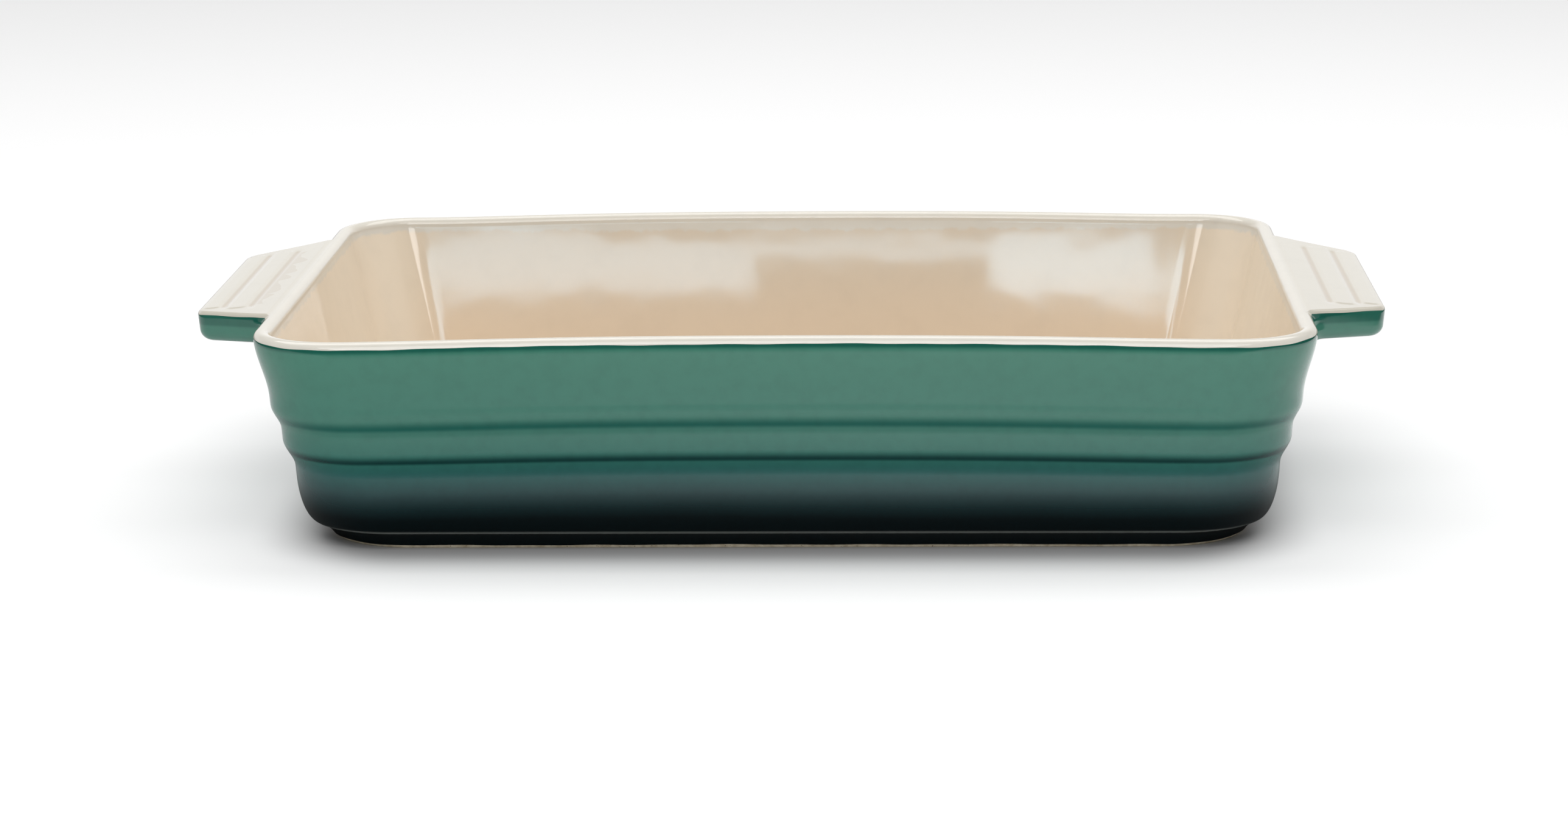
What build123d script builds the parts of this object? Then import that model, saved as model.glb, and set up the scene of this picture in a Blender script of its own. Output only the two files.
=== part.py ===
from build123d import *
import os
from math import atan2, cos, degrees, isclose, pi, sin, sqrt, tan

# A rectangular lasagna dish of glazed stoneware with a handle tab at each short end.
# Millimetres. The origin is on the standing plane under the middle of the dish, +X runs
# along its length, +Y to the back and +Z up. The named sizes are those of the finished,
# glazed dish, and the fired clay lies one coat of glaze inside them.

# Finished outline
rim_length = 330.0
rim_width = 240.0
long_side_rise = 1.65
corner_radius = 27.0
glaze = 0.4

# Heights, stacked from the table up to the lip
foot_height = 5.6
belly_height = 14.4
lower_tier_height = 4.3
lower_step_height = 9.0
middle_tier_height = 3.7
upper_step_height = 8.0
upper_tier_height = 21.5

# Lip, whose widest line is where the two glazes meet
lip_rise = 2.8
lip_width = 5.4

# How far the outside wall comes in on the way down
wall_draft_ratio = 0.07
upper_flare = 2.5
upper_flare_height = 19.0
upper_step_depth = 2.2
lower_step_depth = 2.6
belly_depth = 4.4

# Foot ring
foot_draft = 4.5
foot_bow_share = 0.13
foot_width = 9.0
foot_edge_round = 0.6
bare_edge = 1.2
recess_draft = 2.0

# Inside
floor_thickness = 5.5
floor_round = 12.0
inside_draft_ratio = 0.24

# Handle tabs, each a plate that droops away from the rim
handle_reach = 25.3
handle_end_width = 103.2
handle_root_width = 141.2
handle_thickness = 10.0
handle_top_level = 69.0
handle_droop = 2.4
handle_corner_radius = 9.0
handle_notch_radius = 8.0
handle_top_round = 1.6
handle_bottom_round = 3.6
handle_root_depth = 9.0
handle_notch_sink = 2.4
handle_colour_drop = 1.0

# Valleys pressed into the top of each handle, the outer one first
valley_offsets = (8.6, 18.0)
valley_lengths = (90.0, 96.0)
valley_depth = 0.7
valley_radius = 2.2

# Shares of the long side, and how far each of its points follows the rise
rise_place_shares = (0.0, 0.25, 0.5, 0.75, 1.0)
rise_height_shares = (0.0, 0.74, 1.0, 0.74, 0.0)

rim_half_length = rim_length / 2
rim_half_width = rim_width / 2
belly_top = foot_height + belly_height
lower_step_base = belly_top + lower_tier_height
lower_step_top = lower_step_base + lower_step_height
upper_step_base = lower_step_top + middle_tier_height
upper_step_top = upper_step_base + upper_step_height
lip_base = upper_step_top + upper_tier_height
rim_height = lip_base + lip_rise
floor_top = foot_height + floor_thickness
clay_base = foot_height + glaze
quarter_turn = pi / 2
droop_turn = atan2(handle_droop, handle_reach)
handle_plan_length = handle_reach / cos(droop_turn) + handle_top_round * tan(droop_turn)


def ease(share):
    """A smooth step from 0 to 1, flat at both ends."""
    share = min(max(share, 0), 1)
    return share * share * (3 - 2 * share)


def wall_inset(height):
    """How far the outside wall lies inside the rim outline at a height."""
    depth = lip_base - height
    inset = wall_draft_ratio * depth
    inset += upper_flare * ease(depth / upper_flare_height)
    inset += upper_step_depth * ease((upper_step_top - height) / upper_step_height)
    inset += lower_step_depth * ease((lower_step_top - height) / lower_step_height)
    belly = min(max((belly_top - height) / belly_height, 0), 1)
    return inset + belly_depth * (1 - sqrt(1 - belly * belly))


def foot_inset(height):
    """Inset of the foot ring's side, a shallow cove from the belly down to the table."""
    share = (foot_height - height) / foot_height
    bow = 4 * foot_bow_share * share * (1 - share)
    return wall_inset(foot_height) + foot_draft * (share + bow)


def inside_inset(height):
    """Inset of the inside wall, which rounds into the floor."""
    corner = min(max((floor_top + floor_round - height) / floor_round, 0), 1)
    draft = inside_draft_ratio * (lip_base - height)
    return lip_width + draft + floor_round * (1 - sqrt(1 - corner * corner))


def rise_at(height, flat_height):
    """Rise of the long sides' middle, from nothing at flat_height to all of it at the lip."""
    share = min(max((height - flat_height) / (lip_base - flat_height), 0), 1)
    return long_side_rise * (1 - (1 - share) ** 3)


def ring(inset, height, radius, rise):
    """A rounded rectangle at a height, with its long sides bowed up by the rise."""
    x, y = rim_half_length - inset, rim_half_width - inset
    cx, cy = x - radius, y - radius
    bend = radius * sqrt(1 / 2)

    def long_side(sign):
        points = [(sign * cx * (2 * place - 1), -sign * y, height + rise * lift)
                  for place, lift in zip(rise_place_shares, rise_height_shares)]
        return Edge.make_spline(points, tangents=[(sign, 0, 0), (sign, 0, 0)])

    def corner(sx, sy, start, end):
        middle = (sx * (cx + bend), sy * (cy + bend), height)
        return Edge.make_three_point_arc(start, middle, end)

    return Wire([
        long_side(1),
        corner(1, -1, (cx, -y, height), (x, -cy, height)),
        Edge.make_line((x, -cy, height), (x, cy, height)),
        corner(1, 1, (x, cy, height), (cx, y, height)),
        long_side(-1),
        corner(-1, 1, (-cx, y, height), (-x, cy, height)),
        Edge.make_line((-x, cy, height), (-x, -cy, height)),
        corner(-1, -1, (-x, -cy, height), (-cx, -y, height)),
    ])


def band_faces(bands, ruled=False):
    """The faces over bands of (inset, height, radius, rise) rings.

    Each band is a smooth run of rings, and it starts on the last ring of the band before.
    """
    faces = []
    for band in bands:
        faces += Shell.make_loft([ring(*station) for station in band], ruled).faces()
    return faces


def solid_inside(bands):
    """The closed solid inside one run of bands, with a flat cap at each end."""
    caps = [Face(ring(*bands[0][0])), Face(ring(*bands[-1][-1]))]
    return Solid(Shell(caps + band_faces(bands)))


def strip_faces(outer, inner):
    """The faces across from one ring to another, a single flat face where both lie level."""
    if isclose(outer[1], inner[1]) and outer[3] == inner[3] == 0:
        return [Face(ring(*outer), [ring(*inner)])]
    return band_faces([[outer, inner]], ruled=True)


def solid_between(outer, inner, capped, ruled=False):
    """The closed solid between two runs of bands, joined by a strip across their first rings.

    The last rings are joined by a strip too, or each run has a flat cap there.
    """
    faces = band_faces(outer, ruled) + band_faces(inner, ruled)
    faces += strip_faces(outer[0][0], inner[0][0])
    if capped:
        faces += [Face(ring(*outer[-1][-1])), Face(ring(*inner[-1][-1]))]
    else:
        faces += strip_faces(outer[-1][-1], inner[-1][-1])
    return Solid(Shell(faces))


def parts_of(count):
    """Shares from 0 to 1 in a number of equal steps."""
    return [step / count for step in range(count + 1)]


def outside_bands():
    """The finished outside in bands, from the foot ring up to the widest line."""
    def outside(height):
        return wall_inset(height), height, corner_radius, rise_at(height, foot_height)

    levels = (belly_top, lower_step_base, lower_step_top, upper_step_base, upper_step_top,
              lip_base)
    bands = [[outside(foot_height + belly_height * (1 - cos(quarter_turn * part)))
              for part in parts_of(6)]]
    for low, high in zip(levels, levels[1:]):
        bands.append([outside(low + (high - low) * part) for part in parts_of(4)])
    return bands


def inside_bands():
    """The finished lip and inside in bands, from the widest line over to the floor."""
    def lip(angle):
        inset = lip_width / 2 * (1 - cos(angle))
        return inset, lip_base + lip_rise * sin(angle), corner_radius - inset, long_side_rise

    def inside(height):
        radius = corner_radius - lip_width
        return inside_inset(height), height, radius, rise_at(height, floor_top)

    round_top = floor_top + floor_round
    return [
        [lip(quarter_turn * part) for part in parts_of(3)],
        [lip(quarter_turn * (1 + part)) for part in parts_of(3)],
        [inside(lip_base - (lip_base - round_top) * part) for part in parts_of(3)],
        [inside(floor_top + floor_round * (1 - sin(quarter_turn * part)))
         for part in parts_of(6)],
    ]


def clay_bands(bands):
    """The finished surface's bands moved one coat of glaze into the clay, square to it."""
    run = bands[0][:1] + [station for band in bands for station in band[1:]]
    last = len(run) - 1
    moved = [(foot_inset(clay_base) + glaze, clay_base, corner_radius - glaze, 0)]
    for index in range(1, last):
        inset, height, radius, rise = run[index]
        along = run[index + 1][0] - run[index - 1][0]
        up = run[index + 1][1] - run[index - 1][1]
        length = sqrt(along * along + up * up)
        inwards, down = glaze * up / length, glaze * along / length
        moved.append((inset + inwards, height - down, radius - inwards, rise))
    inset, height, radius, rise = run[last]
    moved.append((inset, height - glaze, radius, rise))
    starts = [sum(len(band) - 1 for band in bands[:index]) for index in range(len(bands))]
    return [moved[start:start + len(band)] for start, band in zip(starts, bands)]


def foot_side(low, high, shift):
    """The band of the foot ring's outer side between two heights."""
    heights = [low + (high - low) * part for part in parts_of(4)]
    return [(foot_inset(height) + shift, height, corner_radius - shift, 0) for height in heights]


def recess_side(low, high, shift):
    """The band of the shallow recess's side inside the foot ring."""
    band = []
    for height in (low, high):
        inset = foot_inset(0) + foot_width + recess_draft * height / clay_base
        band.append((inset + shift, height, corner_radius - foot_width - shift, 0))
    return band


def below_colour_line():
    """A block under the line where the cream glaze meets the green one on the right handle."""
    inner, outer = rim_half_length - handle_root_depth, rim_half_length + 2 * handle_reach
    slope = (handle_top_level - handle_droop - handle_colour_drop - lip_base) / handle_reach
    inner_level = lip_base + slope * (inner - rim_half_length)
    outer_level = lip_base + slope * (outer - rim_half_length)
    side = Polyline((inner, 0, 0), (outer, 0, 0), (outer, 0, outer_level),
                    (inner, 0, inner_level), close=True)
    return extrude(make_face(side), amount=rim_width, dir=(0, 1, 0), both=True)


def handle_outline(shrink):
    """Plan of the right handle from the rim line outwards, with its notches and corners round."""
    root, strip = -handle_root_depth, -handle_notch_sink - shrink
    end = handle_plan_length - shrink
    end_half = handle_end_width / 2 - shrink * sqrt(2)
    taper = (handle_root_width - handle_end_width) / 2 / handle_reach
    join_half = end_half + taper * (end - strip)
    strip_half = join_half + 2 * handle_notch_radius
    side = [(root, -strip_half), (strip, -strip_half), (strip, -join_half), (end, -end_half)]
    other_side = [(x, -y) for x, y in reversed(side)]
    plan = make_face(Polyline(*side, *other_side, close=True))
    notches = plan.vertices().group_by(Axis.X)[1].sort_by(Axis.Y)[1:3]
    plan = fillet(notches, handle_notch_radius + shrink)
    return fillet(plan.vertices().group_by(Axis.X)[-1], handle_corner_radius - shrink)


def handle_body(shrink):
    """The right handle out from the middle of the lip, its faces moved inwards by shrink."""
    thickness = handle_thickness - 2 * shrink
    tab = extrude(handle_outline(shrink), amount=thickness)

    def free_edges(face):
        return [edge for edge in face.edges() if edge.center().X > -handle_root_depth / 2]

    tab = fillet(free_edges(tab.faces().sort_by(Axis.Z)[-1]), handle_top_round - shrink)
    tab = fillet(free_edges(tab.faces().sort_by(Axis.Z)[0]), handle_bottom_round - shrink)
    for offset, length in zip(valley_offsets, valley_lengths):
        half = length / 2 - valley_radius
        cutter = Rot(X=90) * Cylinder(valley_radius, 2 * half)
        for sign in (-1, 1):
            cutter = cutter + Pos(0, sign * half, 0) * Sphere(valley_radius)
        axis_height = thickness + valley_radius - valley_depth
        tab = tab - Pos(handle_plan_length - offset, 0, axis_height) * cutter
    seat = Pos(rim_half_length, 0, handle_top_level) * Rot(Y=degrees(droop_turn))
    tab = seat * Pos(0, 0, shrink - handle_thickness) * tab
    return split(tab, bisect_by=Plane.YZ.offset(rim_half_length - lip_width / 2), keep=Keep.TOP)


def main_solid(shape):
    """The largest solid of a shape."""
    return shape.solids().sort_by(SortBy.VOLUME)[-1]


def build():
    """Every node of the dish, by name."""
    outside, inside = outside_bands(), inside_bands()
    clay = clay_bands(outside + inside)
    clay_outside, clay_inside = clay[:len(outside)], clay[len(outside):]
    clay_foot = foot_side(bare_edge, clay_base, glaze)
    foot_line, foot_radius = foot_inset(0) + glaze, corner_radius - glaze
    foot_edge = [(foot_line + foot_edge_round, 0, foot_radius, 0),
                 (foot_line + foot_edge_round / 4, foot_edge_round / 2, foot_radius, 0),
                 clay_foot[0]]

    basin = solid_inside(clay)
    foot_ring = solid_between([foot_edge, clay_foot], [recess_side(0, clay_base, 0)],
                              capped=False)
    underside_glaze = solid_between([recess_side(bare_edge, clay_base, 0)],
                                    [recess_side(bare_edge, foot_height, glaze)],
                                    capped=True, ruled=True)
    exterior_glaze = solid_between([foot_side(bare_edge, foot_height, 0)] + outside,
                                   [clay_foot] + clay_outside, capped=False)
    interior_glaze = solid_between(inside, clay_inside, capped=True)
    nodes = {"stoneware_basin": basin, "foot_ring": foot_ring, "underside_glaze": underside_glaze}

    right_handle = (handle_body(glaze), handle_body(0), below_colour_line())
    left_handle = [solid.mirror(Plane.YZ) for solid in right_handle]
    for side, solids in (("right", right_handle), ("left", left_handle)):
        clay_tab, glazed_tab, below = solids
        clay_tab = main_solid(clay_tab - basin)
        exterior_glaze = exterior_glaze - clay_tab
        interior_glaze = interior_glaze - clay_tab
        coat = glazed_tab - clay_tab - basin - exterior_glaze - interior_glaze
        nodes[side + "_handle"] = clay_tab
        nodes[side + "_handle_top_glaze"] = main_solid(coat - below)
        nodes[side + "_handle_under_glaze"] = main_solid(coat & below)
    nodes["exterior_glaze"] = main_solid(exterior_glaze)
    nodes["interior_glaze"] = main_solid(interior_glaze)
    return nodes


os.makedirs("parts", exist_ok=True)
for name, shape in build().items():
    export_step(shape, f"parts/{name}.step")
    print(name, len(shape.solids()), round(shape.volume))
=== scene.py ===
import logging
from dataclasses import dataclass, field
from enum import Enum
from math import cos, pi, radians, sin, sqrt

import bpy
import numpy as np
from mathutils import Matrix, Vector


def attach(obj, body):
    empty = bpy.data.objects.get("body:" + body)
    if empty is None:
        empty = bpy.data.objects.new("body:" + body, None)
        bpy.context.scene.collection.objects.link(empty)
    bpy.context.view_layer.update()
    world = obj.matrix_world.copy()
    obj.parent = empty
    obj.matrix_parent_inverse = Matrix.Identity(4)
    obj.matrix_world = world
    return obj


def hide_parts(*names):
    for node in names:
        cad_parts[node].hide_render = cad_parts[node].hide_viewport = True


# The looks of a glazed stoneware lasagna dish, in metres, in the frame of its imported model.
# The glaze coats and the foot ring are surfaces worked out from the finished dish's sizes.
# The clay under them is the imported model's own.

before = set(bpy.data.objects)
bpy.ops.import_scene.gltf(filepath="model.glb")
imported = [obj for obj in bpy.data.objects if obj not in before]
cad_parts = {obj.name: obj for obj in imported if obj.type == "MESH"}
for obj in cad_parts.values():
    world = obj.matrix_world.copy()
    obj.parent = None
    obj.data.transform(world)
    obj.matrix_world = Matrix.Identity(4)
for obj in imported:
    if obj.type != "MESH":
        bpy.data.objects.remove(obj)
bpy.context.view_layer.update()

MM = 0.001
JOIN_GAP = 0.002 * MM
LEVEL_ROUNDS = 4
LOG = logging.getLogger("dish")
Array = np.ndarray
Colour = tuple[float, float, float]
WHITE: Colour = (1.0, 1.0, 1.0)


def ease(share: Array) -> Array:
    """A smooth step: 3 s^2 - 2 s^3, with s held between 0 and 1."""
    share = np.clip(share, 0, 1)
    return share * share * (3 - 2 * share)


def blend(low: float, high: float, share: Array) -> Array:
    """A value that goes from low to high as the share goes from 0 to 1."""
    return low + (high - low) * share


def ripple(turn: Array, waves: tuple[int, ...], shifts: tuple[float, ...]) -> Array:
    """An uneven closed wave between about -1 and 1.

    It is the mean of sines that each run a whole number of times round the dish.

    Args:
        turn: the place round the dish, as a share from 0 to 1.
        waves: how many times each sine runs round.
        shifts: the phase of each sine, in turns.

    Returns:
        The wave's value at each place.
    """
    total = sum(np.sin(2 * pi * (count * turn + shift)) for count, shift in zip(waves, shifts))
    return total / sqrt(len(waves))


@dataclass(frozen=True)
class DishForm:
    """The finished dish's sizes, and the curves that its surfaces follow."""

    rim_half_length: float = 165.0 * MM
    rim_half_width: float = 120.0 * MM
    long_side_rise: float = 1.65 * MM
    rise_quarter_share: float = 0.74
    corner_radius: float = 27.0 * MM
    glaze: float = 0.36 * MM
    foot_height: float = 5.6 * MM
    clay_base: float = 6.0 * MM
    belly_top: float = 20.0 * MM
    belly_height: float = 14.4 * MM
    lower_step_top: float = 33.3 * MM
    lower_step_height: float = 9.0 * MM
    upper_step_top: float = 45.0 * MM
    upper_step_height: float = 8.0 * MM
    lip_base: float = 66.5 * MM
    lip_rise: float = 2.56 * MM
    lip_width: float = 5.4 * MM
    line_rise: float = 0.5 * MM
    wall_draft_ratio: float = 0.07
    upper_flare: float = 2.5 * MM
    upper_flare_height: float = 19.0 * MM
    upper_step_depth: float = 2.2 * MM
    lower_step_depth: float = 2.6 * MM
    belly_depth: float = 4.4 * MM
    foot_draft: float = 4.5 * MM
    foot_bow_share: float = 0.13
    foot_width: float = 9.0 * MM
    foot_edge_round: float = 0.6 * MM
    bare_edge: float = 1.2 * MM
    recess_draft: float = 2.0 * MM
    floor_top: float = 11.1 * MM
    floor_round: float = 12.0 * MM
    inside_draft_ratio: float = 0.24

    def wall_inset(self, height: Array) -> Array:
        """Inset of the outside wall: draft, upper flare, two eased steps and a round belly."""
        depth = self.lip_base - height
        inset = self.wall_draft_ratio * depth
        inset = inset + self.upper_flare * ease(depth / self.upper_flare_height)
        inset = inset + self.upper_step_depth * ease(
            (self.upper_step_top - height) / self.upper_step_height)
        inset = inset + self.lower_step_depth * ease(
            (self.lower_step_top - height) / self.lower_step_height)
        belly = np.clip((self.belly_top - height) / self.belly_height, 0, 1)
        return inset + self.belly_depth * (1 - np.sqrt(1 - belly * belly))

    def foot_inset(self, height: Array) -> Array:
        """Inset of the foot ring's side: a straight draft with a parabola's bow added."""
        share = (self.foot_height - height) / self.foot_height
        bow = 4 * self.foot_bow_share * share * (1 - share)
        return self.wall_inset(self.foot_height) + self.foot_draft * (share + bow)

    def inside_inset(self, height: Array) -> Array:
        """Inset of the inside wall: a straight draft and a quarter round into the floor."""
        corner = np.clip((self.floor_top + self.floor_round - height) / self.floor_round, 0, 1)
        draft = self.inside_draft_ratio * (self.lip_base - height)
        return self.lip_width + draft + self.floor_round * (1 - np.sqrt(1 - corner * corner))

    def rise_at(self, height: Array, flat_height: float) -> Array:
        """Rise of the long sides' middle: 1 - (1 - s)^3 of it, with s from flat to the lip."""
        share = np.clip((height - flat_height) / (self.lip_base - flat_height), 0, 1)
        return self.long_side_rise * (1 - (1 - share) ** 3)

    def crown(self, along: Array) -> Array:
        """Share of the rise along a long side, an even sixth-degree curve with flat ends.

        It is 1 in the middle, the quarter share halfway out, and 0 with no slope at the ends,
        which fixes the three factors of along^2, along^4 and along^6.
        """
        sixth = (self.rise_quarter_share - 9 / 16) * 64 / 9
        square = along * along
        return 1 + (sixth - 2) * square + (1 - 2 * sixth) * square ** 2 + sixth * square ** 3


FORM = DishForm()


@dataclass(frozen=True)
class Round:
    """Columns of points round the dish, anticlockwise seen from above.

    A point lies on the line out from a corner's centre, or from between two centres. centre
    is where it sits between the centres, from -1 to 1 each way, and out is its direction.
    """

    centre: Array
    out: Array
    turn: Array

    @classmethod
    def of(cls, long_count: int, short_count: int, corner_count: int) -> "Round":
        """The columns, with a count of points on each kind of side and on each corner."""
        centres, outs = [], []
        sides = (((0, -1), long_count), ((1, 0), short_count),
                 ((0, 1), long_count), ((-1, 0), short_count))
        for quarter, ((out_x, out_y), count) in enumerate(sides):
            along = np.arange(count) / count * 2 - 1
            centres.append(np.stack([out_x - out_y * along, out_y + out_x * along], 1))
            outs.append(np.tile([float(out_x), float(out_y)], (count, 1)))
            angle = (quarter - 1 + np.arange(corner_count) / corner_count) * pi / 2
            corner = [out_x - out_y, out_y + out_x]
            centres.append(np.tile([float(value) for value in corner], (corner_count, 1)))
            outs.append(np.stack([np.cos(angle), np.sin(angle)], 1))
        centre, out = np.concatenate(centres), np.concatenate(outs)
        return cls(centre, out, np.arange(len(out)) / len(out))

    def surface(self, inset: Array, height: Array, radius: Array, rise: Array) -> Array:
        """Points of the rings at rows of insets, heights, corner radii and rises.

        Each ring is a rounded rectangle: a corner's centre, scaled by the column's place
        between centres, plus the radius along the column's direction.

        Args:
            inset: how far each row lies inside the rim outline, one value or one per column.
            height: each row's height.
            radius: each row's corner radius.
            rise: how far each row's long sides bow up in the middle.

        Returns:
            Points as (rows, columns, 3).
        """
        x = self.centre[:, 0] * (FORM.rim_half_length - inset - radius) + self.out[:, 0] * radius
        y = self.centre[:, 1] * (FORM.rim_half_width - inset - radius) + self.out[:, 1] * radius
        z = height + rise * FORM.crown(self.centre[:, 0])
        return np.stack([x, y, z + 0 * x], 2)


def stations_of(*parts: Array | float) -> Array:
    """Stations of insets, heights, radii and rises, where one number serves for all."""
    return np.stack(np.broadcast_arrays(*parts), -1).astype(float)


@dataclass(frozen=True)
class Profile:
    """A run of stations (inset, height, radius, rise), read by the length along it."""

    stations: Array
    length: Array

    @classmethod
    def of(cls, stations: Array) -> "Profile":
        """The profile through the stations, its length measured in inset and height."""
        steps = np.linalg.norm(np.diff(stations[:, :2], axis=0), axis=1)
        return cls(stations, np.concatenate([[0], np.cumsum(steps)]))

    def read(self, length: Array) -> list[Array]:
        """Inset, height, radius and rise at lengths along the profile."""
        return [np.interp(length, self.length, self.stations[:, part]) for part in range(4)]

    def sunk(self, depth: float) -> "Profile":
        """The profile moved square to itself into the wall, station for station."""
        along, up = np.gradient(self.stations[:, 0]), np.gradient(self.stations[:, 1])
        size = np.maximum(np.hypot(along, up), MM * MM)
        moved = self.stations.copy()
        moved[:, 0] += depth * up / size
        moved[:, 1] -= depth * along / size
        moved[:, 2] = np.maximum(moved[:, 2] - depth * up / size, 0)
        return Profile(moved, self.length)


def quads_of(points: Array, close_rows: bool = False, close_columns: bool = False) -> Array:
    """The quads between a grid's points.

    A quad runs one column on and one row on, so its normal is the column direction crossed
    with the row direction.

    Args:
        points: points as (rows, columns, 3).
        close_rows: whether the last row joins the first.
        close_columns: whether the last column joins the first.

    Returns:
        The numbers of four points for each quad.
    """
    rows, columns = points.shape[:2]
    index = np.arange(rows * columns).reshape(rows, columns)
    if close_rows:
        index = np.concatenate([index, index[:1]])
    if close_columns:
        index = np.concatenate([index, index[:, :1]], 1)
    corners = [index[:-1, :-1], index[:-1, 1:], index[1:, 1:], index[1:, :-1]]
    return np.stack([corner.ravel() for corner in corners], 1)


def tidy_faces(faces: Array) -> list[tuple[int, ...]]:
    """Faces with repeated corners dropped, and faces of under three corners left out."""
    kept = []
    for face in faces.tolist():
        corners = tuple(dict.fromkeys(face))
        if len(corners) > 2:
            kept.append(corners)
    return kept


def thinned(rows: Array, every: int = 4) -> Array:
    """Every so many rows, with both ends kept, for the back of a coat."""
    kept = np.unique(np.concatenate([np.arange(0, len(rows), every), [len(rows) - 1]]))
    return rows[kept]


def level_of(points: Array) -> Array:
    """Each point's height on the side's profile, with the long sides' bow taken off.

    The bow depends on that height, so it is found again from it in a few rounds.
    """
    level = points[:, 2].copy()
    for _ in range(LEVEL_ROUNDS):
        straight = FORM.rim_half_length - FORM.corner_radius - FORM.wall_inset(level)
        along = np.clip(points[:, 0] / straight, -1, 1)
        level = points[:, 2] - FORM.rise_at(level, FORM.foot_height) * FORM.crown(along)
    return level


def linked(name: str, data: bpy.types.ID) -> bpy.types.Object:
    """A new object of the data, in the scene."""
    made = bpy.data.objects.new(name, data)
    bpy.context.scene.collection.objects.link(made)
    return made


def keep(data: bpy.types.Mesh, name: str, values: Array) -> None:
    """Keep a value on each point of a mesh, under a name that its material reads."""
    data.attributes.new(name, "FLOAT", "POINT").data.foreach_set("value", values)


def new_piece(name: str, points: Array, faces: Array,
              sharp_degrees: float = 50.0) -> bpy.types.Object:
    """Make a smooth-shaded object of points and faces, with its profile height kept on them.

    Args:
        name: the piece's name.
        points: the points, in metres.
        faces: four corners for each face, which may repeat.
        sharp_degrees: edges that turn by more are left sharp.

    Returns:
        The new object, in the scene.
    """
    data = bpy.data.meshes.new(name)
    data.from_pydata(points.tolist(), [], tidy_faces(faces))
    data.polygons.foreach_set("use_smooth", np.ones(len(data.polygons), bool))
    data.set_sharp_from_angle(angle=radians(sharp_degrees))
    keep(data, "level", level_of(points))
    data.validate()
    data.update()
    return linked(name, data)


def ring_piece(name: str, rings: Array, close_rows: bool = True,
               sharp_degrees: float = 50.0) -> bpy.types.Object:
    """Make an object of closed rings of points, with points that coincide joined.

    Args:
        name: the piece's name.
        rings: points as (rows, columns, 3), a ring in each row.
        close_rows: whether the last ring joins the first.
        sharp_degrees: edges that turn by more are left sharp.

    Returns:
        The new object, in the scene.
    """
    points, faces = rings.reshape(-1, 3), quads_of(rings, close_rows, True)
    keys = np.round(points / JOIN_GAP).astype(np.int64)
    _, first, back = np.unique(keys, axis=0, return_index=True, return_inverse=True)
    return new_piece(name, points[first], back.reshape(-1)[faces], sharp_degrees)


def shell_of(points: Array, faces: Array, normals: Array, depth: float) -> tuple[Array, Array]:
    """Give an open surface a back and a rim, which close it into a coat.

    The back is each point moved by the depth against its normal. An edge that only one face
    uses lies on the border, and gets a rim face.

    Args:
        points: the surface's points.
        faces: its quads.
        normals: a unit normal for each point.
        depth: the coat's thickness.

    Returns:
        The closed coat's points and quads.
    """
    count = len(points)
    both = np.concatenate([points, points - normals * depth])
    ends = np.concatenate([faces[:, [side, (side + 1) % 4]] for side in range(4)])
    ends = ends[ends[:, 0] != ends[:, 1]]
    keys = np.sort(ends, 1)
    _, place, uses = np.unique(keys, axis=0, return_index=True, return_counts=True)
    border = ends[place[uses == 1]]
    rim = np.stack([border[:, 1], border[:, 0], border[:, 0] + count, border[:, 1] + count], 1)
    return both, np.concatenate([faces, faces[:, ::-1] + count, rim])


class Signal:
    """A shader socket, on which arithmetic adds Math nodes."""

    def __init__(self, book: "NodeBook", socket: bpy.types.NodeSocket) -> None:
        """Wrap a socket of the book's tree."""
        self.book = book
        self.socket = socket

    def _math(self, operation: str, *values: "Signal | float") -> "Signal":
        """The result of a Math node on the values."""
        return self.book.node("ShaderNodeMath", {"operation": operation},
                              dict(enumerate(values)))

    def __add__(self, other: "Signal | float") -> "Signal":
        """The sum."""
        return self._math("ADD", self, other)

    def __sub__(self, other: "Signal | float") -> "Signal":
        """The difference."""
        return self._math("SUBTRACT", self, other)

    def __rsub__(self, other: float) -> "Signal":
        """A number less this."""
        return self._math("SUBTRACT", other, self)

    def __mul__(self, other: "Signal | float") -> "Signal":
        """The product."""
        return self._math("MULTIPLY", self, other)

    def __truediv__(self, other: "Signal | float") -> "Signal":
        """The quotient."""
        return self._math("DIVIDE", self, other)

    __radd__ = __add__
    __rmul__ = __mul__

    def through(self, operation: str) -> "Signal":
        """The result of a Math operation that takes one value."""
        return self._math(operation, self)

    def eased(self, low: float, high: float) -> "Signal":
        """A smooth step from 0 at low to 1 at high."""
        return self.book.node("ShaderNodeMapRange", {"interpolation_type": "SMOOTHSTEP"},
                              {0: self, 1: low, 2: high, 3: 0.0, 4: 1.0})

    def highest(self, other: "Signal | float") -> "Signal":
        """The larger of two values."""
        return self._math("MAXIMUM", self, other)


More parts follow.
